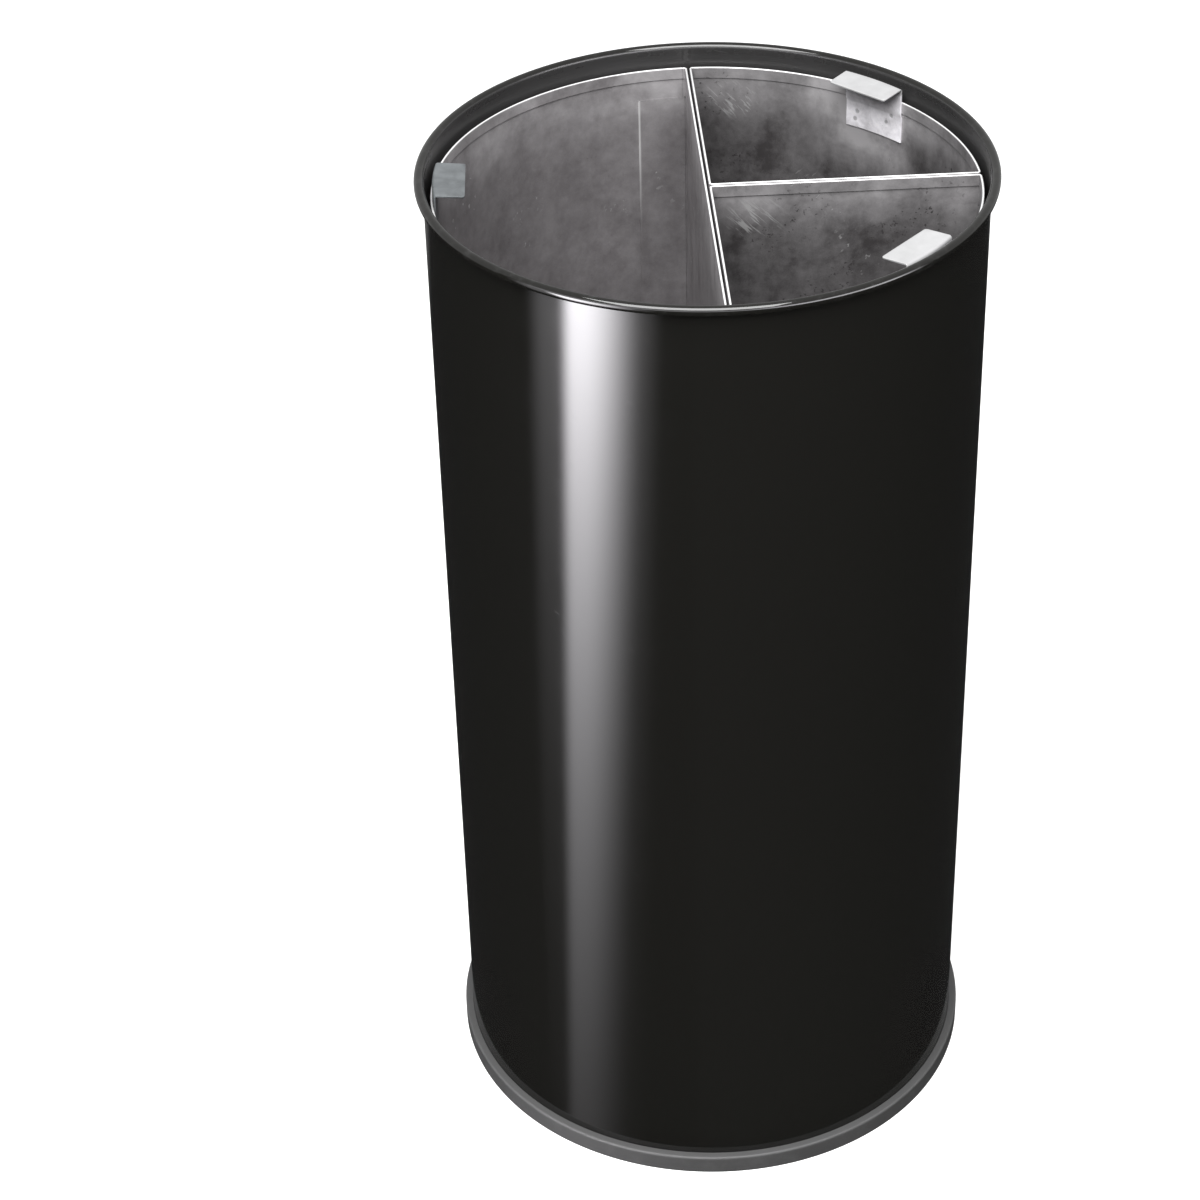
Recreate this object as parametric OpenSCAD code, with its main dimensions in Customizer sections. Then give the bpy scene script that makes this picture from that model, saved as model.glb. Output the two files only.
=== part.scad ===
// Round three-compartment litter bin: a painted steel shell on a plastic foot ring,
// holding one half-round and two quarter-round lift-out liners of galvanised sheet.
// The origin is on the ground, on the shell's axis. The half-round liner lies on the -X side.

/* [Shell] */
// Outside diameter of the straight steel wall
shell_d = 358; // [300:1:420]
// Overall height, from the ground to the top of the rim
total_h = 700; // [500:5:900]
// Thickness of the shell's sheet
shell_t = 1; // [0.8:0.1:1.5]
// Diameter of the bead that the top edge is curled into
bead_d = 6.4; // [5.6:0.2:8]
// Height of the bottom plate's upper face above the ground
floor_z = 18; // [17:1:40]

/* [Foot ring] */
// Height of the ring
ring_h = 14; // [8:1:15]
// How far the ring stands out from the shell's wall
ring_out = 5.7; // [3:0.1:8]
// Thickness of the ring under the shell's lower edge
ring_foot_t = 2; // [1.5:0.5:4]
// Radius of the ring's rounded upper edge
ring_edge_r = 1.6; // [0.5:0.1:2.4]

/* [Liners] */
// Gap between the shell's wall and the liners
liner_clear = 3.4; // [3:0.1:8]
// Depth of the liners' top edge below the top of the rim
liner_drop = 14.5; // [12:0.5:40]
// Thickness of the galvanised sheet
liner_t = 0.7; // [0.5:0.1:1]
// Thickness of the hem folded inwards along a liner's top edge
hem_t = 1.5; // [1.4:0.1:2.2]
// Height of the hem
hem_h = 8; // [5:0.5:12]
// Gap between one liner and the next
liner_gap = 1.5; // [1:0.1:5]
// Distance from the axis to the middle of the gap beside the half-round liner
divide_x = 0.9; // [-5:0.1:5]
// Outside radius of the bends in a liner's corners
corner_r = 2.4; // [2:0.1:5]
// Height of a liner's bottom plate above the edge that it stands on
recess_h = 8; // [5:1:15]
// Width of the flange by which the dividing wall laps inside the half-round wall
half_lap_w = 31; // [15:1:45]
// Width of the same flange on the quarter-round liners
quarter_lap_w = 12; // [8:1:30]
// Distance from a liner's top edge down to the upper end of the flanges
lap_drop = 22; // [16:1:60]

/* [Handles] */
// Width of a handle
grip_w = 46; // [35:1:60]
// Depth of the finger flange, from the leg's outer face inwards
grip_d = 21; // [15:0.5:26]
// Thickness of a handle's steel
grip_t = 1.2; // [1:0.1:1.6]
// How far a handle stands above the liner's top edge
grip_rise = 10; // [6:0.5:11]
// Height of the leg, from the top of the flange to its lower end
leg_h = 39.5; // [30:0.5:60]
// Outside radius of the bend between flange and leg
grip_bend_r = 2; // [1.8:0.1:3]
// Radius of the flange's two free corners
grip_corner_r = 2; // [1:0.5:6]
// Angle by which the flange falls towards its free edge
grip_fall = 4; // [1:0.5:6]
// Direction of the half-round liner's handle, seen from above
half_grip_az = 178.5; // [170:0.5:190]
// Direction of the back liner's handle
back_grip_az = 45; // [35:0.5:55]
// Direction of the front liner's handle
front_grip_az = -43; // [-55:0.5:-35]

/* [Hidden] */
$fn = 96;

cut = 1;
shell_r = shell_d / 2;
shell_in = shell_r - shell_t;
bead_r = bead_d / 2;
bead_z = total_h - bead_r;
// Direction, round the bead's middle, in which the curl ends just short of the wall
curl_end_az = 235;
// Sheet thickness of the bottom plate, and how far the foot ring reaches in under it
skirt_t = 1;
ring_lip_w = 4;

liner_r = shell_in - liner_clear;
liner_top = total_h - liner_drop;
liner_h = liner_top - floor_z;
half_x = divide_x - liner_gap / 2;
quarter_x = divide_x + liner_gap / 2;
quarter_y = liner_gap / 2;
// Height of the flanges' lower ends above the bottom plate
lap_clear = 2;
lap_z = floor_z + recess_h + liner_t + lap_clear;
lap_h = liner_top - lap_drop - lap_z;

// Degrees, seen from the axis, that a flat sheet runs on past its bend
past_bend_az = 0.2;
// Degrees over which a lap flange is tied to the flat sheet
tie_az = 0.4;
// Height over which a handle's leg steps outwards below the hem
joggle_run = 2;
// Half of the arc, seen from the axis, out of which a handle is cut
grip_half_az = 20;
grip_z = liner_top + grip_rise;
upper_r = liner_r - hem_t;
lower_r = liner_r - liner_t;
joggle_z = liner_top - hem_h - 1;
leg_z = grip_z - leg_h;

paint = "#1b1b1d";
plastic = "#3d3d40";
zinc = "#8d8c90";
zinc_dark = "#757378";
zinc_light = "#c9cbcf";

// ---- outlines seen from above ----

// Middle of a corner bend, where a flat side that lies d from the axis meets the curved side
function bend_y(d) = sqrt(pow(liner_r - corner_r, 2) - pow(d, 2));

// What a bend leaves off a sharp corner: the triangle between its two tangent points and the tip,
// without the disc
module bend_waste(centre, inset, tangent_1, tip, tangent_2) {
    difference() {
        polygon([centre, tangent_1, tip, tangent_2]);
        translate(centre) circle(r = corner_r - inset);
    }
}

// Waste at the meeting of a flat side x = d + corner_r and the curved side, on the +Y side.
// The region lies on the -X side of the flat side.
module rim_bend_waste(d, inset) {
    c = [d, bend_y(d)];
    r = corner_r - inset;
    out = c / norm(c);
    bend_waste(c, inset, c + [r + cut, 0], c + [r + cut, r + cut], c + out * (r + cut));
}

// Half-round outline, taken in by inset all round
module half_outline(inset) {
    d = half_x - corner_r;
    difference() {
        intersection() {
            circle(r = liner_r - inset);
            translate([-liner_r - cut, -liner_r - cut])
                square([liner_r + cut + half_x - inset, 2 * (liner_r + cut)]);
        }
        rim_bend_waste(d, inset);
        mirror([0, 1]) rim_bend_waste(d, inset);
    }
}

// Quarter-round outline of the back liner, taken in by inset all round
module quarter_outline(inset) {
    c = [quarter_x + corner_r, quarter_y + corner_r];
    r = corner_r - inset;
    difference() {
        intersection() {
            circle(r = liner_r - inset);
            translate([quarter_x + inset, quarter_y + inset]) square(liner_r + cut);
        }
        bend_waste(c, inset, c - [r + cut, 0], c - [r + cut, r + cut], c - [0, r + cut]);
        mirror([1, 0]) rim_bend_waste(-quarter_x - corner_r, inset);
        rotate(-90) rim_bend_waste(-quarter_y - corner_r, inset);
    }
}

// Strips that follow the outlines, between two depths inside them
module half_strip(from, to) {
    difference() {
        half_outline(from);
        half_outline(to);
    }
}

module quarter_strip(from, to) {
    difference() {
        quarter_outline(from);
        quarter_outline(to);
    }
}

// Wedge between two directions, wide enough to hold a whole liner
module sector(az_0, az_1) {
    reach = 2 * liner_r;
    step = (az_1 - az_0) / 4;
    polygon(concat([[0, 0]], [for (i = [0:4]) reach * [cos(az_0 + i * step), sin(az_0 + i * step)]]));
}

// The same wedge without its middle, so that it holds only what lies near the rim
module rim_sector(az_0, az_1) {
    difference() {
        sector(az_0, az_1);
        circle(r = liner_r - 2 * corner_r);
    }
}

// Directions in which the curved walls start and end, just past the bends
half_start = atan2(bend_y(half_x - corner_r), half_x - corner_r) + past_bend_az;
quarter_start = atan2(quarter_y + corner_r, bend_y(quarter_y + corner_r)) + past_bend_az;
quarter_end = atan2(bend_y(quarter_x + corner_r), quarter_x + corner_r) - past_bend_az;

// ---- shell and foot ring ----

// Rolled sheet tube: its upper edge is curled outwards and down into a hollow bead
module shell() {
    c = [shell_in + bead_r, bead_z];
    reach = 2 * bead_d;
    color(paint) rotate_extrude() {
        translate([shell_in, ring_foot_t]) square([shell_t, bead_z - ring_foot_t]);
        difference() {
            translate(c) circle(r = bead_r);
            translate(c) circle(r = bead_r - shell_t);
            translate(c) polygon([
                [0, 0], [-reach, 0], [-reach, -reach],
                reach * [cos(curl_end_az), sin(curl_end_az)]
            ]);
        }
    }
}

// Steel disc with its edge turned down, welded inside the foot of the shell
module shell_bottom() {
    color(paint) rotate_extrude() {
        translate([0, floor_z - skirt_t]) square([shell_in, skirt_t]);
        translate([shell_in - skirt_t, ring_foot_t]) square([skirt_t, floor_z - ring_foot_t]);
    }
}

// Plastic ring pushed over the shell's lower edge
module foot_ring() {
    outer_r = shell_r + ring_out;
    c = [outer_r - ring_edge_r, ring_h - ring_edge_r];
    color(plastic) rotate_extrude() {
        difference() {
            translate([shell_r, 0]) square([ring_out, ring_h]);
            difference() {
                translate(c) square(ring_edge_r + cut);
                translate(c) circle(r = ring_edge_r);
            }
        }
        translate([shell_in - ring_lip_w, 0]) square([ring_lip_w + shell_t + ring_out, ring_foot_t]);
    }
}

// ---- pieces that every liner has ----

// Curved wall from direction start to direction end, with its hem
module curved_wall(start, end) {
    color(zinc) rotate_extrude(start = start, angle = end - start) {
        translate([liner_r - liner_t, floor_z]) square([liner_t, liner_h]);
        translate([liner_r - hem_t, liner_top - hem_h]) square([hem_t, hem_h]);
    }
}

// Flange of width w, from the bend at direction az along the inside of the curved wall.
// The first child is its strip, and the second is the strip that ties it to the flat sheet.
// A negative w runs clockwise.
module lap_flange(az, w) {
    side = sign(w);
    lap_az = w / liner_r * 180 / PI;
    translate([0, 0, lap_z]) linear_extrude(height = lap_h) {
        intersection() {
            children(0);
            rim_sector(az - side * tie_az, az + lap_az);
        }
        intersection() {
            children(1);
            rim_sector(az - side * tie_az, az);
        }
    }
}

// Side view of a handle's sheet, inset from its outer face: flange, bend, and a leg
// that steps outwards below the hem
function handle_side(inset) = let (
    bend = [upper_r - grip_bend_r, grip_z - grip_bend_r],
    r = grip_bend_r - inset,
    flange_end = bend + r * [-sin(grip_fall), cos(grip_fall)]
) concat(
    [flange_end - liner_r / 2 * [cos(grip_fall), sin(grip_fall)], flange_end],
    [for (az = [0:15:90]) bend + r * [sin(az), cos(az)]],
    [[upper_r - inset, joggle_z], [lower_r - inset, joggle_z - joggle_run], [lower_r - inset, leg_z]]
);

function reversed(points) = [for (i = [len(points) - 1:-1:0]) points[i]];

// Handle that points along +X: a leg bent to the curved wall and a finger flange that
// reaches inwards
module handle() {
    inner_x = upper_r - grip_d;
    free_c = [inner_x + grip_corner_r, grip_w / 2 - grip_corner_r];
    color(zinc_light) intersection() {
        rotate_extrude(start = -grip_half_az, angle = 2 * grip_half_az)
            polygon(concat(handle_side(0), reversed(handle_side(grip_t))));
        translate([0, 0, leg_z - cut]) linear_extrude(height = leg_h + 2 * cut) {
            translate([free_c.x, -grip_w / 2]) square([liner_r - free_c.x, grip_w]);
            translate([inner_x, -free_c.y]) square([liner_r - inner_x, 2 * free_c.y]);
            translate(free_c) circle(r = grip_corner_r);
            translate([free_c.x, -free_c.y]) circle(r = grip_corner_r);
        }
    }
}

// ---- half-round liner ----

module half_curved_wall() {
    curved_wall(half_start, 360 - half_start);
}

// Flat sheet across the bin. It is bent at both ends and laps inside the curved wall
module half_dividing_wall() {
    color(zinc) {
        translate([0, 0, floor_z]) linear_extrude(height = liner_h) difference() {
            half_strip(0, liner_t);
            rim_sector(half_start, 360 - half_start);
        }
        translate([0, 0, liner_top - hem_h]) linear_extrude(height = hem_h) difference() {
            half_strip(0, hem_t);
            rim_sector(half_start, 360 - half_start);
        }
        for (side = [0, 1]) mirror([0, side, 0]) lap_flange(half_start, half_lap_w) {
            half_strip(liner_t, 2 * liner_t);
            half_strip(liner_t / 2, 2 * liner_t);
        }
    }
}

// Plate with its edge turned down between the walls
module half_bottom() {
    color(zinc_dark) {
        translate([0, 0, floor_z + recess_h]) linear_extrude(height = liner_t) half_outline(liner_t);
        translate([0, 0, floor_z]) linear_extrude(height = recess_h) half_strip(liner_t, 2 * liner_t);
    }
}

module half_handle() {
    rotate(half_grip_az) handle();
}

// ---- quarter-round liners: the back one, which the front one mirrors ----

module back_curved_wall() {
    curved_wall(quarter_start, quarter_end);
}

// Sheet bent square in the middle of the bin. Both ends lap inside the curved wall
module back_corner_wall() {
    color(zinc) {
        translate([0, 0, floor_z]) linear_extrude(height = liner_h) difference() {
            quarter_strip(0, liner_t);
            rim_sector(quarter_start, quarter_end);
        }
        translate([0, 0, liner_top - hem_h]) linear_extrude(height = hem_h) difference() {
            quarter_strip(0, hem_t);
            rim_sector(quarter_start, quarter_end);
        }
        lap_flange(quarter_start, quarter_lap_w) {
            quarter_strip(liner_t, 2 * liner_t);
            quarter_strip(liner_t / 2, 2 * liner_t);
        }
        lap_flange(quarter_end, -quarter_lap_w) {
            quarter_strip(liner_t, 2 * liner_t);
            quarter_strip(liner_t / 2, 2 * liner_t);
        }
    }
}

module back_bottom() {
    color(zinc_dark) {
        translate([0, 0, floor_z + recess_h]) linear_extrude(height = liner_t) quarter_outline(liner_t);
        translate([0, 0, floor_z]) linear_extrude(height = recess_h) quarter_strip(liner_t, 2 * liner_t);
    }
}

module back_handle() {
    rotate(back_grip_az) handle();
}

module front_curved_wall() {
    mirror([0, 1, 0]) back_curved_wall();
}

module front_corner_wall() {
    mirror([0, 1, 0]) back_corner_wall();
}

module front_bottom() {
    mirror([0, 1, 0]) back_bottom();
}

module front_handle() {
    rotate(front_grip_az) handle();
}

shell();
shell_bottom();
foot_ring();
half_curved_wall();
half_dividing_wall();
half_bottom();
half_handle();
back_curved_wall();
back_corner_wall();
back_bottom();
back_handle();
front_curved_wall();
front_corner_wall();
front_bottom();
front_handle();
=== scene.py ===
"""A round steel litter bin, open at the top, with three lift-out galvanised liners.

Lengths in this script are millimetres until a mesh, a lamp or the camera is made, and +Z is up.
"""

import bmesh
import bpy
import numpy as np
from mathutils import Matrix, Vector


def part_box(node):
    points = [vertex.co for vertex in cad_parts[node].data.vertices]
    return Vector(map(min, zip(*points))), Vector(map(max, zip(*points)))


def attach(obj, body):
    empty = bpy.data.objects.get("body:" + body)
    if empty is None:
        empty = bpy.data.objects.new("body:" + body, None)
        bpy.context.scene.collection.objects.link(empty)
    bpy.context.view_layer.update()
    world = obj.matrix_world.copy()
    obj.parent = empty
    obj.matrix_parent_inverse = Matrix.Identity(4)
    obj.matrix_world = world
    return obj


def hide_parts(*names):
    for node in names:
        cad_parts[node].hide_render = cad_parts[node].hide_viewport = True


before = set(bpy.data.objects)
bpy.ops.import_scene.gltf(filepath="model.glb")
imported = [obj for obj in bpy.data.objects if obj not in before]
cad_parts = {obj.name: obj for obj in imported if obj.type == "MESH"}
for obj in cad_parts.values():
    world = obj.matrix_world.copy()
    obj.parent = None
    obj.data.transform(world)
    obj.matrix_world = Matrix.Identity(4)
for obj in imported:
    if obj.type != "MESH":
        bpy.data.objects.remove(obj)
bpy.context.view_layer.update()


# The view: a long lens held above the bin and in front of it, looking down into it. Seen from
# there, the half-round liner is on the left and the two quarter-round liners are on the right.
MM = 0.001


def aim_camera(place, heading, tilt, roll, lens):
    """Camera at a place, turned right of +Y by heading, down by tilt and clockwise by roll degrees."""
    heading, tilt, roll = np.radians((heading, tilt, roll))
    ahead = np.array([np.sin(heading) * np.cos(tilt), np.cos(heading) * np.cos(tilt), -np.sin(tilt)])
    level = np.array([np.cos(heading), -np.sin(heading), 0])
    upward = np.cross(level, ahead)
    right = level * np.cos(roll) + upward * np.sin(roll)
    up = upward * np.cos(roll) - level * np.sin(roll)
    turn = Matrix(np.array([right, up, -ahead]).T.tolist())
    data = bpy.data.cameras.new("camera")
    data.lens, data.sensor_width = lens, 36
    data.clip_start, data.clip_end = 0.05, 60
    eye = bpy.data.objects.new("camera", data)
    bpy.context.scene.collection.objects.link(eye)
    eye.matrix_world = Matrix.Translation([v * MM for v in place]) @ turn.to_4x4()
    bpy.context.scene.camera = eye


aim_camera(place=(-130.8, -1739.6, 1580.1), heading=1.84, tilt=34.8, roll=-1.676, lens=92.26)


# The shell: a tube rolled from 1 mm steel, 358 mm across, whose top edge is curled outwards and
# down into a 6.4 mm bead. It is painted gloss black, and its weld seam runs down the back.
def box_mm(node):
    """Lowest and highest corner of a CAD node in millimetres, to the nearest twentieth."""
    return [[round(v / MM * 20) / 20 for v in corner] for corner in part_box(node)]


def arc(centre, radius, start, end, count):
    """Points along part of a circle: its centre plus the radius times (cos, sin) of each direction."""
    turn = np.radians(np.linspace(start, end, count))
    return np.asarray(centre) + radius * np.stack([np.cos(turn), np.sin(turn)], 1)


def sheet_section(line, thickness):
    """Closed outline of a sheet seen edge on: its middle line moved half the thickness to each side.

    The points run along one side, round the far end, back along the other side, and round the
    near end. Each end has one extra point, so that the cut edge is slightly rounded.
    """
    line = np.asarray(line, float)
    along = np.gradient(line, axis=0)
    along /= np.linalg.norm(along, axis=1)[:, None]
    side = np.stack([along[:, 1], -along[:, 0]], 1) * thickness / 2
    bulge = 0.12 * thickness
    far, near = line[-1:] + along[-1:] * bulge, line[:1] - along[:1] * bulge
    return np.vstack([line + side, far, (line - side)[::-1], near])


def grid_faces(columns, rows, wrap_columns=True, wrap_rows=True):
    """Quads between neighbouring points of a grid, whose points are numbered column by column."""
    i, j = np.arange(columns - (not wrap_columns)), np.arange(rows - (not wrap_rows))
    i, j = [a.ravel() for a in np.meshgrid(i, j, indexing="ij")]
    right, above = (i + 1) % columns, (j + 1) % rows
    return np.stack([i * rows + j, right * rows + j, right * rows + above, i * rows + above], 1)


def revolve(section, columns=360):
    """A closed (radius, height) section carried round the upright axis: points and faces."""
    turn = np.linspace(0, 2 * np.pi, columns, endpoint=False)[:, None]
    radius, z = section[:, 0], section[:, 1]
    points = np.stack([radius * np.cos(turn), radius * np.sin(turn), z + 0 * turn], -1)
    return points.reshape(-1, 3), grid_faces(columns, len(section)).tolist()


def new_mesh(name, points, faces):
    """Object at the origin with its place in its mesh: points in millimetres, smooth shading."""
    mesh = bpy.data.meshes.new(name)
    mesh.from_pydata((points * MM).tolist(), [], faces)
    mesh.polygons.foreach_set("use_smooth", np.ones(len(mesh.polygons), bool))
    thing = bpy.data.objects.new(name, mesh)
    bpy.context.scene.collection.objects.link(thing)
    return thing


def add_piece(name, points, faces, body, node, slot, finish):
    thing = new_mesh(name, points, faces)
    work = bmesh.new()
    work.from_mesh(thing.data)
    bmesh.ops.remove_doubles(work, verts=work.verts, dist=1e-7)
    bmesh.ops.recalc_face_normals(work, faces=work.faces)
    work.to_mesh(thing.data)
    work.free()
    thing.data.set_sharp_from_angle(angle=np.radians(35))
    thing.data.materials.append(finish.material)
    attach(thing, body)
    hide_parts(node)
    return thing


class Wire:
    """One value in a finish. +, -, *, abs, and a plain number raised to it, add a Math node."""

    def __init__(self, finish, socket):
        self.finish, self.socket = finish, socket

    def math(self, operation, first, second=0.0):
        """A Math node in the same finish."""
        return self.finish.math(operation, first, second)

    def __add__(self, other):
        return self.math("ADD", self, other)

    def __sub__(self, other):
        return self.math("SUBTRACT", self, other)

    def __rsub__(self, other):
        return self.math("SUBTRACT", other, self)

    def __mul__(self, other):
        return self.math("MULTIPLY", self, other)

    def __rpow__(self, other):
        return self.math("POWER", other, self)

    def __abs__(self):
        return self.math("ABSOLUTE", self)

    __radd__, __rmul__ = __add__, __mul__


class Finish:
    """A material round one Principled shader. What is the same all over is set by socket name."""

    def __init__(self, name, **uniform):
        self.material = bpy.data.materials.new(name)
        self.material.use_nodes = True
        self.tree = self.material.node_tree
        self.shader = self.tree.nodes["Principled BSDF"]
        for socket, value in uniform.items():
            self.shader.inputs[socket.replace("_", " ")].default_value = value

    def add(self, kind, settings=None, sockets=None, out=0):
        """Adds a node: first its settings, then the values or links of its sockets."""
        node = self.tree.nodes.new(kind)
        for key, value in (settings or {}).items():
            setattr(node, key, value)
        for key, value in (sockets or {}).items():
            if isinstance(value, Wire):
                self.tree.links.new(value.socket, node.inputs[key])
            else:
                node.inputs[key].default_value = value
        return Wire(self, node.outputs[out])

    def math(self, operation, first, second=0.0):
        """A Math node on one or two values."""
        return self.add("ShaderNodeMath", {"operation": operation}, {0: first, 1: second})

    def place(self, stretch=(1, 1, 1), turn=(0, 0, 0)):
        """The piece's own coordinates in metres, for a pattern that is first squeezed along each
        axis by stretch, and then turned."""
        own = self.add("ShaderNodeTexCoord", out="Object")
        return self.add("ShaderNodeMapping", {"vector_type": "TEXTURE"}, {
            "Vector": own, "Scale": [1 / s for s in stretch], "Rotation": turn})

    def noise(self, size, detail=4.0, roughness=0.5, distortion=0.0, **where):
        """Cloudy values about one half, whose largest clouds are size millimetres across."""
        return self.add("ShaderNodeTexNoise", {}, {
            "Vector": self.place(**where), "Scale": 1 / (size * MM), "Detail": detail,
            "Roughness": roughness, "Distortion": distortion})

    def ramp(self, value, none, full):
        """Goes smoothly from 0 to 1 as value goes from none to full, which may be the lower."""
        return self.add("ShaderNodeMapRange", {"interpolation_type": "SMOOTHSTEP"}, {
            "Value": value, "From Min": none, "From Max": full})

    def mix(self, share, first, second):
        """The colour that lies share of the way from first to second."""
        return self.add("ShaderNodeMix", {"data_type": "RGBA"},
                        {"Factor": share, 6: first, 7: second}, out=2)

    def axes(self):
        """The three coordinates in millimetres."""
        own = self.add("ShaderNodeTexCoord", out="Object")
        parts = self.add("ShaderNodeSeparateXYZ", {}, {0: own}).socket.node.outputs
        return [Wire(self, parts[k]) * (1 / MM) for k in range(3)]

    def direction(self, x, y):
        """Direction of a point seen from the upright axis, in degrees from +X."""
        return self.math("ARCTAN2", y, x) * (180 / np.pi)

    def bump(self, relief, depth, under=None):
        """Normal of a surface raised by relief, which runs from 0 to 1, times depth millimetres."""
        sockets = {"Height": relief, "Distance": depth * MM, "Strength": 1.0}
        if under:
            sockets["Normal"] = under
        return self.add("ShaderNodeBump", {}, sockets)

    def feed(self, **wires):
        """Links values to the shader's sockets, by socket name."""
        for socket, wire in wires.items():
            self.tree.links.new(wire.socket, self.shader.inputs[socket.replace("_", " ")])


def grey(level, tint=(1, 1, 1)):
    """Linear colour of that level, tinted."""
    return tuple(level * t for t in tint) + (1,)


def gloss_black(rim_z, inner_r):
    """Gloss black paint: faint orange peel, dust, hairline scuffs, and a weld seam on the +Y side.
    The bead is rubbed smooth, and inside the tube the paint has a dull film of dust."""
    coat = Finish("gloss_black_paint", Specular_IOR_Level=0.5)
    x, y, z = coat.axes()
    dust = coat.ramp(coat.noise(1.1, 3, 0.6), 0.62, 0.78) * coat.ramp(coat.noise(70, 3), 0.4, 0.7)
    scuff = coat.ramp(coat.noise(17, 4, 0.6, 0.3, stretch=(1, 1, 9), turn=(0.5, 0.2, 0)), 0.66, 0.74)
    seam = coat.ramp(abs(x), 3.5, 1.0) * coat.ramp(y, inner_r - 8, inner_r - 4)
    bead = coat.ramp(z, rim_z - 9, rim_z - 6)
    wear_and_painted_light = bead * coat.ramp(coat.noise(9, 5, 0.7), 0.52, 0.7)
    radius = coat.math("SQRT", x * x + y * y)
    film = coat.ramp(radius, inner_r + 0.7, inner_r + 0.3) * (0.7 + coat.noise(60, 4, 0.6) * 0.6)
    clean_and_painted_light = coat.mix(dust * 0.15, grey(0.0062, (1.03, 1, 0.88)), grey(0.05))
    rubbed = coat.mix(wear_and_painted_light * 0.2, clean_and_painted_light, grey(0.05))
    coat.feed(Base_Color=coat.mix(film, rubbed, grey(0.024, (1, 0.98, 0.98))),
              Roughness=(0.09 + coat.noise(38, 3) * 0.06 + dust * 0.1 + scuff * 0.12 - bead * 0.07
                         + wear_and_painted_light * 0.08 + film * 0.22),
              Normal=coat.bump(seam, 0.2, coat.bump(coat.noise(4, 2), 0.004)))
    return coat


shell_low, shell_high = box_mm("shell")
rim_z, rim_r = shell_high[2], shell_high[0]
sheet_t = 1.0
bead_d = 6.4
shell_r = rim_r - bead_d + sheet_t
shell_in = shell_r - sheet_t
curl = arc((shell_in + bead_d / 2, rim_z - bead_d / 2), (bead_d - sheet_t) / 2, 180, -124, 40)
wall_z = np.linspace(shell_low[2] + 0.2, curl[0, 1] - 1, 9)
wall = np.stack([wall_z * 0 + curl[0, 0], wall_z], 1)
paint = gloss_black(rim_z, shell_in)
shell_tube = add_piece("shell_tube", *revolve(sheet_section(np.vstack([wall, curl]), sheet_t)),
                       "bin", "shell", "paint", paint)


# The bottom: a 1 mm steel disc with its edge turned down, welded inside the foot of the shell and
# painted with it. The liners stand on it.
def moved_along(outline, inward, section):
    """Points of a section, as (depth in from the outline, height), at each point of the outline:
    the outline's point plus its inward direction times the depth, at the section's height."""
    plan = outline[:, None] + inward[:, None] * section[None, :, :1]
    return np.dstack([plan, np.broadcast_to(section[:, 1], plan.shape[:2])]).reshape(-1, 3)


def dished_plate(outline, inward, line, thickness):
    """A plate with its edge turned down. The edge's middle line starts on the plate and runs
    down. It gets its thickness, is carried round the closed outline, and the plate's two faces
    are filled in."""
    section = sheet_section(line, thickness)[:-1]
    columns, rows = len(outline), len(section)
    ring = np.arange(columns) * rows
    faces = grid_faces(columns, rows, wrap_rows=False).tolist()
    faces += [ring.tolist(), (ring + rows - 1).tolist()]
    return moved_along(outline, inward, section), faces


def turned_down(top_z, low_z, thickness, bend=2.5, reach=12):
    """Middle line of a plate's edge: level from reach inside the outline, bent down, and upright.
    Where the outline has corners, reach is less than their radius, so that nothing folds over."""
    middle, top = thickness / 2, top_z - thickness / 2
    return np.vstack([[[reach, top], [(reach + middle + bend) / 2, top]],
                      arc((middle + bend, top - bend), bend, 90, 180, 8),
                      [[middle, (top + low_z) / 2], [middle, low_z + 0.1]]])


bottom_low, bottom_high = box_mm("shell_bottom")
round_trip = arc((0, 0), 1, 0, 360, 241)[:-1]
plate_edge = turned_down(bottom_high[2], bottom_low[2], sheet_t)
add_piece("bottom_plate", *dished_plate(round_trip * shell_in, -round_trip, plate_edge, sheet_t),
          "bin", "shell_bottom", "paint", paint)


# The foot ring: dark grey moulded plastic, 14 mm high, pushed over the shell's lower edge. Its
# outer edges are rounded, and a flat lip reaches in under the steel.
def dark_plastic(ring_h):
    """Matt moulded plastic: fine grain, faint flow marks, paler rubbed patches, and a paler upper rim
    that is a painted highlight.
    """
    plastic = Finish("dark_grey_plastic", Specular_IOR_Level=0.4)
    z = plastic.axes()[2]
    rubbed = plastic.ramp(plastic.noise(18, 5, 0.65), 0.45, 0.7)
    # Painted highlight: the ring's uppermost few millimetres are coloured paler, as where light catches
    # the rounded top.
    edge = plastic.ramp(z, ring_h - 2.5, ring_h - 0.4)
    tone = plastic.mix(plastic.noise(45, 4, 0.6), grey(0.028, (1.02, 1, 1)), grey(0.04))
    tone = plastic.mix(edge * 0.5, tone, grey(0.085))
    plastic.feed(Base_Color=plastic.mix(rubbed * 0.25, tone, grey(0.075)),
                 Roughness=0.52 + plastic.noise(25, 3) * 0.16 - rubbed * 0.08,
                 Normal=plastic.bump(plastic.noise(0.7, 3, 0.6), 0.04))
    return plastic


ring_high = box_mm("foot_ring")[1]
ring_r, ring_h = ring_high[0], ring_high[2]
lip_r, lip_t = shell_in - 4, 2
top_round, foot_round, nick = 1.6, 0.8, 0.3
outer_z = np.linspace(foot_round + 1.5, ring_h - top_round - 1.5, 4)
ring_section = np.vstack([
    [[lip_r, nick], [lip_r + nick, 0]],
    arc((ring_r - foot_round, foot_round), foot_round, -90, 0, 6),
    np.stack([outer_z * 0 + ring_r, outer_z], 1),
    arc((ring_r - top_round, ring_h - top_round), top_round, 0, 90, 9),
    [[shell_r + nick, ring_h], [shell_r, ring_h - nick], [shell_r, lip_t],
     [lip_r + nick, lip_t], [lip_r, lip_t - nick]]])
foot_ring = add_piece("plastic_foot_ring", *revolve(ring_section), "bin", "foot_ring",
                      "foot_plastic", dark_plastic(ring_h))


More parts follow.
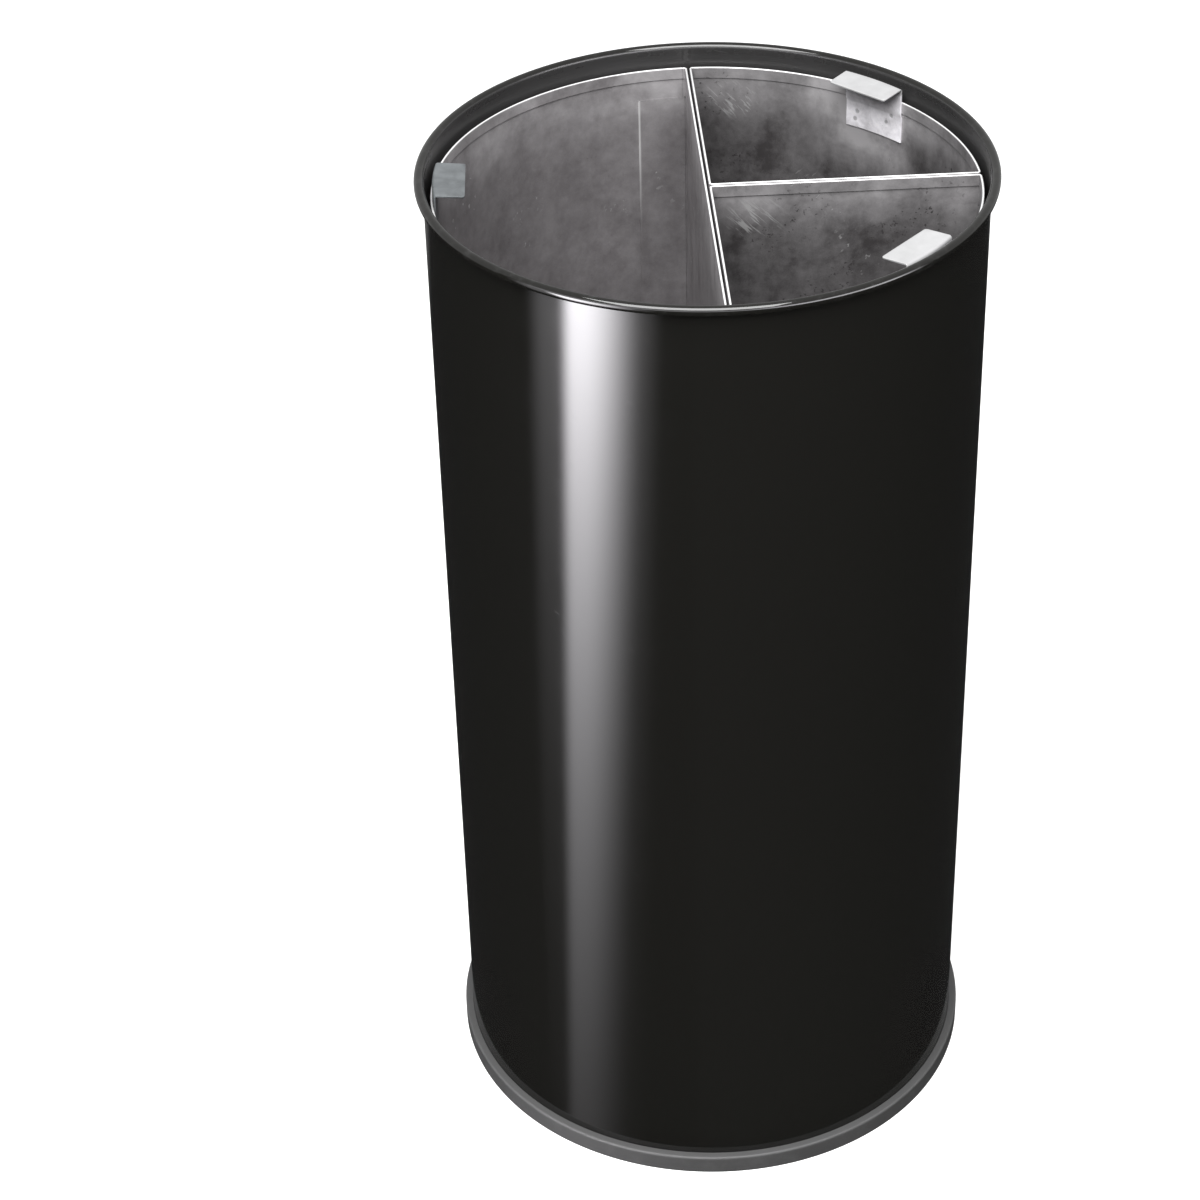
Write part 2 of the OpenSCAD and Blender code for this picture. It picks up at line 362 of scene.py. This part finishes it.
# The liners' curved walls: 0.7 mm galvanised sheet rolled to a radius of 173 mm. Along the top
# the sheet is folded inwards into a flat hem 8 mm high, which keeps it stiff and the edge blunt.
def galvanised(name, dark, light, soil, rubbed_az=0.0):
    """Dull zinc on steel: clouds, with the walls painted paler near the top as if lit from above,
    stains and dark specks in proportion to soil, faint upright streaks, scratches, a painted pool of
    light on the walls beside the handles' direction, a painted highlight along the top of the hem, the
    lap flanges' top edges darkened by dirt, and any side edge at rubbed_az rubbed bright. The handles'
    direction and rubbed_az are in degrees to either side of +X."""
    zinc = Finish(name, Metallic=0.55, Specular_IOR_Level=0.5)
    x, y, z = zinc.axes()
    # Painted light: the walls are coloured paler towards the top, with stronger clouds there, as if
    # light from above fell off with depth.
    upper = zinc.ramp(z, liner_top - 55 + 12 * soil, liner_top - 5)
    cloud = zinc.noise(30, 6, 0.64, 0.2)
    fine = zinc.noise(7, 4, 0.65, 0.1)
    streak = zinc.noise(24, 3, 0.6, stretch=(1, 1, 0.12))
    stain = zinc.ramp(zinc.noise(64, 5, 0.62, 0.3), 0.47, 0.66)
    speck = zinc.ramp(zinc.noise(2.6, 3, 0.6), 0.6, 0.68) * zinc.ramp(zinc.noise(42, 2), 0.5, 0.6)
    slanting = zinc.noise(3.8, 3, 0.6, 0.2, stretch=(1, 1, 0.06), turn=(0.7, 0.5, 0.3))
    hairline = zinc.ramp(slanting, 0.63, 0.7)
    patch = zinc.ramp(abs(x - scraped_x), 22, 6) * zinc.ramp(abs(z - scraped_z), 17, 5)
    scrape = zinc.ramp(zinc.noise(2.4, 3, 0.6, 0.2, stretch=(1, 1, 0.1), turn=(0, -0.8, 0)), 0.56, 0.64)
    scratch = hairline * zinc.ramp(zinc.noise(55, 2), 0.56, 0.66) + scrape * patch * soil
    grain = zinc.noise(0.6, 2, 0.6)
    # Painted highlight: the top half millimetre of the hem is coloured near white and made smoother, as
    # if lit from above.
    hem_highlight = zinc.ramp(z, liner_top - 0.6, liner_top - 0.1)
    radius = zinc.math("SQRT", x * x + y * y)
    on_lap = zinc.ramp(abs(radius - lap_r), 0.34, 0.24)
    cut = on_lap * zinc.ramp(abs(z - lap_high), 1.0, 0.4)
    around = abs(zinc.direction(x, y))
    # Painted light: a pale, cloudy pool of light on the walls beside the quarter liners' handles.
    painted_light_pool = zinc.ramp(abs(around - light_pool_az), 17, 4) * zinc.ramp(z, liner_top - 72, liner_top - 34)
    lap_inside = zinc.ramp(radius, liner_r - zinc_t - 0.02, liner_r - zinc_t - 0.1)
    rubbed = (zinc.ramp(abs(around - rubbed_az), 0.6, 0.1) * streak * 1.5 * lap_inside
              * zinc.ramp(z, lap_high - 110, lap_high - 10) * zinc.ramp(z, lap_high + 2, lap_high))
    base = 0.27 - 0.1 * soil
    tone = (base + upper * (0.58 - base) + painted_light_pool * cloud * 1.5 * soil
            + (cloud - 0.5) * (0.32 + upper * 1.0) + (fine - 0.5) * 0.3
            + (streak - 0.5) * 0.2 + (grain - 0.5) * 0.15 - stain * (0.06 + 0.1 * soil)
            - speck * 0.3 * soil)
    colour = zinc.mix(scratch * 0.5, zinc.mix(tone, dark, light), grey(0.6))
    colour = zinc.mix(cut * 0.8, zinc.mix(rubbed * 0.8, colour, grey(0.8)), grey(0.06))
    relief = cloud + grain * 0.4 - scratch * 0.5
    zinc.feed(Base_Color=zinc.mix(hem_highlight, colour, grey(0.95)),
              Roughness=0.52 + (cloud - 0.5) * 0.3 + stain * 0.1 - scratch * 0.15 - hem_highlight * 0.12,
              Normal=zinc.bump(zinc.noise(200, 2), 1.2, zinc.bump(relief, 0.05)))
    return zinc


def hemmed(low_z, top_z):
    """Middle line, as (depth, height), of a sheet whose upper end is folded inwards and down."""
    middle, fold_r = zinc_t / 2, (hem_t - zinc_t) / 2
    rise = np.linspace(low_z + 0.1, top_z - hem_t / 2 - 0.2, 14)
    fall = np.linspace(top_z - hem_t / 2 - 0.4, top_z - hem_h + 0.1, 4)
    return np.vstack([np.stack([rise * 0 + middle, rise], 1),
                      arc((middle + fold_r, top_z - hem_t / 2 - 0.1), fold_r, 180, 0, 9),
                      np.stack([fall * 0 + middle + 2 * fold_r, fall], 1)])


def carry(outline, inward, line, thickness):
    """A sheet: its middle line, as (depth in from the outline, height), gets its thickness and is
    carried along the open outline. Both cut ends are closed across the thickness."""
    section = sheet_section(line, thickness)
    columns, rows, count = len(outline), len(section), len(line)
    k = np.arange(count - 1)
    quads = np.stack([k, k + 1, 2 * count - k - 1, 2 * count - k], 1)
    tips = [[count - 1, count, count + 1], [2 * count, 2 * count + 1, 0]]
    faces = grid_faces(columns, rows, wrap_columns=False).tolist()
    for base in (0, (columns - 1) * rows):
        faces += (quads + base).tolist() + (np.array(tips) + base).tolist()
    return moved_along(outline, inward, section), faces


def joined(*shapes):
    """Several (points, faces) put together as one."""
    starts = np.cumsum([0] + [len(points) for points, faces in shapes])
    faces = [[start + corner for corner in face]
             for start, (points, listed) in zip(starts, shapes) for face in listed]
    return np.vstack([points for points, faces in shapes]), faces


def mirrored(shape):
    """The same shape on the -Y side."""
    points, faces = shape
    return points * [1, -1, 1], faces


liner_low, liner_high = box_mm("half_curved_wall")
liner_r, liner_z, liner_top = -liner_low[0], liner_low[2], liner_high[2]
half_x = box_mm("half_dividing_wall")[1][0]
quarter_x, quarter_y = box_mm("back_corner_wall")[0][:2]
zinc_t, bend_r = 0.7, 2.4
hem_t, hem_h = 1.5, 8.0
# The two sheets of a liner meet just past the bends, with a fine gap. Both are in degrees.
past_bend, seam_az = 0.2, 0.04
# The lap flanges are the strips of the flat walls' sheet that lie inside the curved walls.
half_lap, quarter_lap = 31, 12
lap_high, lap_r = liner_top - 22, liner_r - 1.5 * zinc_t
degrees_per_mm = 180 / np.pi / liner_r
# Where a painted pool of light brightens the walls beside the handles, and where something has scraped
# the quarter liners.
light_pool_az = 47
scraped_x, scraped_z = 30, liner_top - 24


def rim_bend(flat):
    """Centre of the bend between a flat side at distance flat and the curved side, as (the flat
    side's coordinate, the other coordinate, the direction seen from the axis in degrees)."""
    reach = np.sqrt((liner_r - bend_r) ** 2 - flat ** 2)
    return flat, reach, np.degrees(np.arctan2(reach, flat))


half_bend = rim_bend(half_x - bend_r)
quarter_bend_x = rim_bend(quarter_x + bend_r)
quarter_bend_y = rim_bend(quarter_y + bend_r)
half_start = half_bend[2] + past_bend
half_lap_az = half_start + half_lap * degrees_per_mm
quarter_start = 90 - quarter_bend_y[2] + past_bend
quarter_end = quarter_bend_x[2] - past_bend


def rolled(start, end):
    """Curved wall between two directions."""
    turn = arc((0, 0), 1, start + seam_az, end - seam_az, int((end - start) / 1.5))
    return carry(turn * liner_r, -turn, hemmed(liner_z, liner_top), zinc_t)


half_zinc = galvanised("galvanised_sheet", grey(0.11, (1, 0.91, 0.94)), grey(0.53, (1, 0.97, 0.99)),
                       soil=0.2, rubbed_az=half_lap_az)
quarter_zinc = galvanised("stained_galvanised_sheet", grey(0.05, (1, 0.92, 0.94)),
                          grey(0.46, (1, 0.97, 0.99)), soil=1.0)
add_piece("half_liner_curved_wall", *rolled(half_start, 360 - half_start),
          "half_liner", "half_curved_wall", "galvanised_sheet", half_zinc)
quarter_curve = rolled(quarter_start, quarter_end)
add_piece("back_liner_curved_wall", *quarter_curve,
          "back_quarter_liner", "back_curved_wall", "galvanised_sheet", quarter_zinc)
add_piece("front_liner_curved_wall", *mirrored(quarter_curve),
          "front_quarter_liner", "front_curved_wall", "galvanised_sheet", quarter_zinc)


# The liners' flat walls: the same sheet, bent to a 2.4 mm radius at each corner and hemmed too.
# Their ends lap inside the curved walls as upright flanges, and are spot-welded there.
def folded_outline(*bends, step=6):
    """Outline and its inward directions along a row of bends, each (centre, radius, start, end)
    in degrees. What lies between two bends is straight."""
    parts, normals = [], []
    for centre, radius, start, end in bends:
        count = max(3, int(abs(end - start) / step) + 1)
        parts.append(arc(centre, radius, start, end, count))
        normals.append(-arc((0, 0), 1, start, end, count))
    return np.vstack(parts), np.vstack(normals)


def flange(from_az, to_az):
    """Lap flange: a strip of sheet against the inside of the curved wall."""
    turn = arc((0, 0), 1, from_az, to_az, 14)
    rise = np.linspace(lap_low + 0.1, lap_high - 0.1, 12)
    return carry(turn * liner_r, -turn, np.stack([rise * 0 + liner_r - lap_r, rise], 1), zinc_t)


# A flange starts inside the end of its wall, by tie degrees, and ends 2 mm above the bottom plate.
tie = 0.4
plate_z = liner_z + 8 + zinc_t
lap_low = plate_z + 2

half_path = folded_outline(
    ((0, 0), liner_r, -half_start, -half_bend[2]),
    ((half_bend[0], -half_bend[1]), bend_r, -half_bend[2], 0),
    (half_bend[:2], bend_r, 0, half_bend[2]),
    ((0, 0), liner_r, half_bend[2], half_start))
half_flange = flange(half_start - tie, half_lap_az)
half_wall = carry(*half_path, hemmed(liner_z, liner_top), zinc_t)
add_piece("half_liner_dividing_wall", *joined(half_wall, half_flange, mirrored(half_flange)),
          "half_liner", "half_dividing_wall", "galvanised_sheet", half_zinc)

quarter_path = folded_outline(
    ((0, 0), liner_r, quarter_end, quarter_bend_x[2]),
    (quarter_bend_x[:2], bend_r, quarter_bend_x[2], 180),
    ((quarter_x + bend_r, quarter_y + bend_r), bend_r, 180, 270),
    (quarter_bend_y[1::-1], bend_r, -90, 90 - quarter_bend_y[2]),
    ((0, 0), liner_r, 90 - quarter_bend_y[2], quarter_start))
quarter_lap_az = quarter_lap * degrees_per_mm
corner_wall = joined(carry(*quarter_path, hemmed(liner_z, liner_top), zinc_t),
                     flange(quarter_start - tie, quarter_start + quarter_lap_az),
                     flange(quarter_end - quarter_lap_az, quarter_end + tie))
add_piece("back_liner_corner_wall", *corner_wall,
          "back_quarter_liner", "back_corner_wall", "galvanised_sheet", quarter_zinc)
add_piece("front_liner_corner_wall", *mirrored(corner_wall),
          "front_quarter_liner", "front_corner_wall", "galvanised_sheet", quarter_zinc)


# The liners' bottoms: plates of the same sheet, 8 mm above the edge that the liner stands on. Their
# edges are turned down between the walls and welded to them.
def closed(path, start, end):
    """A flat wall's outline taken on round the curved side, from start to end, to close it."""
    turn = arc((0, 0), 1, start, end, 80)[1:-1]
    return np.vstack([path[0], turn * liner_r]), np.vstack([path[1], -turn])


def liner_bottom(outline, inward):
    """Bottom plate just inside the walls."""
    line = turned_down(plate_z, liner_z, zinc_t, bend=1.0, reach=1.5)
    return dished_plate(outline + inward * zinc_t, inward, line, zinc_t)


add_piece("half_liner_bottom", *liner_bottom(*closed(half_path, half_start, 360 - half_start)),
          "half_liner", "half_bottom", "galvanised_sheet", half_zinc)
quarter_plate = liner_bottom(*closed(quarter_path, quarter_start, quarter_end))
add_piece("back_liner_bottom", *quarter_plate,
          "back_quarter_liner", "back_bottom", "galvanised_sheet", quarter_zinc)
add_piece("front_liner_bottom", *mirrored(quarter_plate),
          "front_quarter_liner", "front_bottom", "galvanised_sheet", quarter_zinc)


# The handles: 1.2 mm steel strip, 46 mm wide, bent to an angle. The leg is spot-welded to the
# inside of the curved wall, and the finger flange reaches inwards above the hem.
def grip_zinc(name, flange_tones, leg_tones):
    """Zinc on a handle: blotches, fine upright brushing, a few dark specks, flange and leg in tones of
    their own that paint light and shade, and burnt smudges at the spot welds, which the mesh holds as
    an attribute."""
    zinc = Finish(name, Metallic=0.25, Specular_IOR_Level=0.5)
    z = zinc.axes()[2]
    blotch = zinc.noise(13, 5, 0.62, 0.3)
    brush = zinc.noise(9, 3, 0.6, stretch=(1, 1, 14))
    speck = zinc.ramp(zinc.noise(2.2, 3, 0.7), 0.66, 0.76)
    weld = zinc.add("ShaderNodeAttribute", {"attribute_name": "weld"}, out="Fac")
    ragged = weld * (0.3 + zinc.noise(2.5, 4, 0.7) * 1.5)
    burnt = zinc.ramp(ragged, 0.45, 0.9)
    # Painted light and shade: the flange and the leg take separate tones, so one face reads lighter
    # than the other, as the light falls.
    on_flange = zinc.ramp(z, grip_z - 6, grip_z - 3)
    wear_and_painted_light = zinc.mix(0.5 + (blotch - 0.5) * 1.2 + (brush - 0.5) * 0.3, *flange_tones)
    clean_and_painted_light = zinc.mix(0.6 + (blotch - 0.5) * 2.6, *leg_tones)
    tone = zinc.mix(on_flange, clean_and_painted_light, wear_and_painted_light)
    zinc.feed(Base_Color=zinc.mix(speck * 0.4 + burnt * 0.6, tone, grey(0.17)),
              Roughness=0.42 + (blotch - 0.5) * 0.2 + speck * 0.1,
              Normal=zinc.bump(brush, 0.012, zinc.bump(zinc.noise(1, 2), 0.01)))
    return zinc


def handle_sheet(azimuth):
    """Outer face of a handle, as a grid, and how deep each point is in a spot weld's dimple, from
    0 to 1. The grid runs from the flange's free edge out to the bend, down the leg, and outwards
    where the leg steps off the hem. Across it, the points lie at the sines of even angles, closer
    together near the edges. Each line of the leg is part of a circle about the axis, and the
    flange's free edge is straight with rounded corners. A dimple's depth falls off as e to the
    minus square of the distance from its middle over its radius."""
    half = grip_w / 2
    slant = np.radians(68)
    across = half * np.sin(np.linspace(-slant, slant, 73)) / np.sin(slant)
    lines = np.vstack([
        arc((hem_r - grip_bend, grip_z - grip_bend), grip_bend, 90 + grip_fall, 0, 9),
        [[hem_r, z] for z in np.linspace(grip_z - grip_bend - 1, step_z, 12)],
        [[wall_r, z] for z in np.linspace(step_z - 2, grip_low, 30)]])
    leg_x = np.sqrt(lines[:, 0] ** 2 - across[:, None] ** 2)
    beyond = np.clip(np.abs(across) - half + grip_corner, 0, None)
    edge_x = free_x + grip_corner - np.sqrt(grip_corner ** 2 - beyond ** 2)
    share = np.linspace(0, 1, 12, endpoint=False)
    flange_x = edge_x[:, None] + (leg_x[:, :1] - edge_x[:, None]) * share
    x = np.hstack([flange_x, leg_x])
    y = np.broadcast_to(across[:, None], x.shape)
    flange_z = lines[0, 1] - (lines[0, 0] - free_x) * (1 - share) * np.tan(np.radians(grip_fall))
    z = np.broadcast_to(np.hstack([flange_z, lines[:, 1]]), x.shape)
    spot_y, spot_z = np.array(weld_spots).T
    away = np.hypot(y[..., None] - spot_y, z[..., None] - grip_low - spot_z) / weld_r
    weld = np.exp(-away ** 2).sum(-1)
    x = x + weld * weld_depth
    turn = np.radians(azimuth)
    points = np.dstack([x * np.cos(turn) - y * np.sin(turn), x * np.sin(turn) + y * np.cos(turn), z])
    faces = grid_faces(*x.shape, wrap_columns=False, wrap_rows=False).tolist()
    return points.reshape(-1, 3), faces, weld.ravel()


grip_low, grip_z = [corner[2] for corner in box_mm("half_handle")]
grip_w, grip_d, grip_t = 46, 21, 1.2
# The flange's bend, its rounded free corners, and its fall towards the free edge in degrees.
grip_bend, grip_corner, grip_fall = 2.0, 2.0, 4
hem_r, wall_r = liner_r - hem_t, liner_r - zinc_t
free_x, step_z = hem_r - grip_d, liner_top - hem_h - 1
# Spot welds, as (across from the middle of the leg, up from its lower edge).
weld_spots = [(-10, 11), (14.5, 12), (-14, 17), (16, 6)]
weld_r, weld_depth = 2.4, 0.35
# Painted light on the handles: the back and front handles get a lit copy of the zinc, its leg pale up
# to white, and the half liner's handle gets a shaded copy, darkened as if in shadow.
lit_grip = grip_zinc("lit_handle_zinc", [grey(0.34, (0.99, 0.99, 1)), grey(0.46, (0.99, 0.99, 1))],
                      [grey(0.5, (1, 0.97, 1.02)), grey(1, (1, 0.98, 1.02))])
shaded_grip = grip_zinc("shaded_handle_zinc", [grey(0.05, (0.92, 1, 1.06)), grey(0.19, (0.93, 1, 1.04))],
                      [grey(0.04, (0.95, 1, 1.03)), grey(0.13, (0.95, 1, 1.03))])
for liner, body, azimuth, finish in (("half", "half_liner", 178.5, shaded_grip),
                                     ("back", "back_quarter_liner", 45, lit_grip),
                                     ("front", "front_quarter_liner", -43, lit_grip)):
    points, faces, weld = handle_sheet(azimuth)
    handle = new_mesh(liner + "_liner_handle", points, faces)
    handle.data.attributes.new("weld", "FLOAT", "POINT").data.foreach_set("value", weld)
    thick = handle.modifiers.new("thickness", "SOLIDIFY")
    thick.thickness, thick.offset = grip_t * MM, 1
    soft = handle.modifiers.new("edges", "BEVEL")
    soft.width, soft.segments, soft.limit_method = 0.14 * MM, 2, "ANGLE"
    handle.data.materials.append(finish.material)
    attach(handle, body)
    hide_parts(liner + "_handle")


# The studio: a pale floor under a pale dome and a soft light overhead. A tall strip light, left of
# the bin, and a wide low band of light in front show only in what the paint and foot ring reflect.
floor_half = 25000
floor_corners = np.array([[-1, -1, 0], [1, -1, 0], [1, 1, 0], [-1, 1, 0]]) * floor_half
floor = new_mesh("floor", floor_corners, [[0, 1, 2, 3]])
pale = Finish("pale_floor", Roughness=0.9, Specular_IOR_Level=0.1,
              Emission_Color=grey(1), Emission_Strength=0.4)
pale.feed(Base_Color=pale.mix(pale.noise(330), grey(0.86), grey(0.9)))
floor.data.materials.append(pale.material)
floor.visible_glossy = False

world = bpy.data.worlds.new("dome")
bpy.context.scene.world = world
world.use_nodes = True
nodes, links = world.node_tree.nodes, world.node_tree.links
where = nodes.new("ShaderNodeTexCoord")
height = nodes.new("ShaderNodeVectorMath")
fade = nodes.new("ShaderNodeValToRGB")
height.operation = "DOT_PRODUCT"
dome_top = (0, 0.5, 0.87)
height.inputs[1].default_value = dome_top
links.new(where.outputs["Generated"], height.inputs[0])
links.new(height.outputs["Value"], fade.inputs[0])
links.new(fade.outputs[0], nodes["Background"].inputs["Color"])
below, above = fade.color_ramp.elements
below.position, below.color = 0.0, grey(0.02)
above.position, above.color = 0.12, grey(0.62)

lit_by_drums = bpy.data.collections.new("lit_by_drums")
lit_by_drums.objects.link(shell_tube)
lit_by_drums.objects.link(foot_ring)


def drum_light(name, drum_r, from_az, to_az, low, high):
    """Part of an upright drum round the bin, seen only where the paint and the foot ring reflect
    it: its black finish, and in that the direction in degrees and the height in millimetres."""
    columns, rows = 49, 41
    turn, rise = np.meshgrid(np.radians(np.linspace(from_az, to_az, columns)),
                             np.linspace(low, high, rows), indexing="ij")
    points = np.stack([drum_r * np.cos(turn), drum_r * np.sin(turn), rise], -1).reshape(-1, 3)
    lamp = new_mesh(name, points, grid_faces(columns, rows, False, False).tolist())
    lamp.visible_camera = lamp.visible_diffuse = lamp.visible_shadow = False
    lamp.light_linking.receiver_collection = lit_by_drums
    glow = Finish(name, Base_Color=grey(0), Roughness=1.0, Specular_IOR_Level=0.0)
    lamp.data.materials.append(glow.material)
    x, y, z = glow.axes()
    return glow, glow.direction(x, y), z


def shine(glow, strength):
    """Makes the finish give off light of that strength, faintly violet."""
    lit = glow.add("ShaderNodeEmission", {}, {"Strength": strength, "Color": grey(1, (1, 0.98, 1.02))})
    glow.tree.links.new(lit.socket, glow.tree.nodes["Material Output"].inputs["Surface"])


# The strip leans a little, and fades downwards as e to the power of height over fade_length.
full_z, lean_per_mm, fade_length = 60, 0.0106, 303
strip, angle, z = drum_light("strip_light", 1300, -172, -100, -1500, 1100)
low_z = strip.math("MINIMUM", z, full_z)
leaning = angle - low_z * lean_per_mm
core = strip.ramp(leaning, -153, -146) * strip.ramp(leaning, -118, -142)
skirt = strip.ramp(leaning, -168, -158) * strip.ramp(leaning, -110, -122)
shine(strip, (core * 19 + skirt * 1.3) * np.e ** (low_z * (1 / fade_length)))

# The band is softened at both ends, and is brighter towards its right-hand end.
band, angle, z = drum_light("rim_light", 1250, -170, -8, 740, 1200)
ends = band.ramp(angle, -170, -150) * band.ramp(angle, -8, -30)
shine(band, ends * (3 + band.ramp(angle, -85, -60) * 6))

over = bpy.data.lights.new("overhead", "AREA")
over.shape, over.size, over.size_y, over.energy = "RECTANGLE", 2.0, 1.6, 130
overhead = bpy.data.objects.new("overhead", over)
bpy.context.scene.collection.objects.link(overhead)
lean = Matrix.Rotation(np.radians(31), 4, "X") @ Matrix.Rotation(np.radians(-7), 4, "Y")
overhead.matrix_world = Matrix.Translation([v * MM for v in (-250, -1150, 2400)]) @ lean
bpy.context.scene.view_settings.view_transform = "Standard"
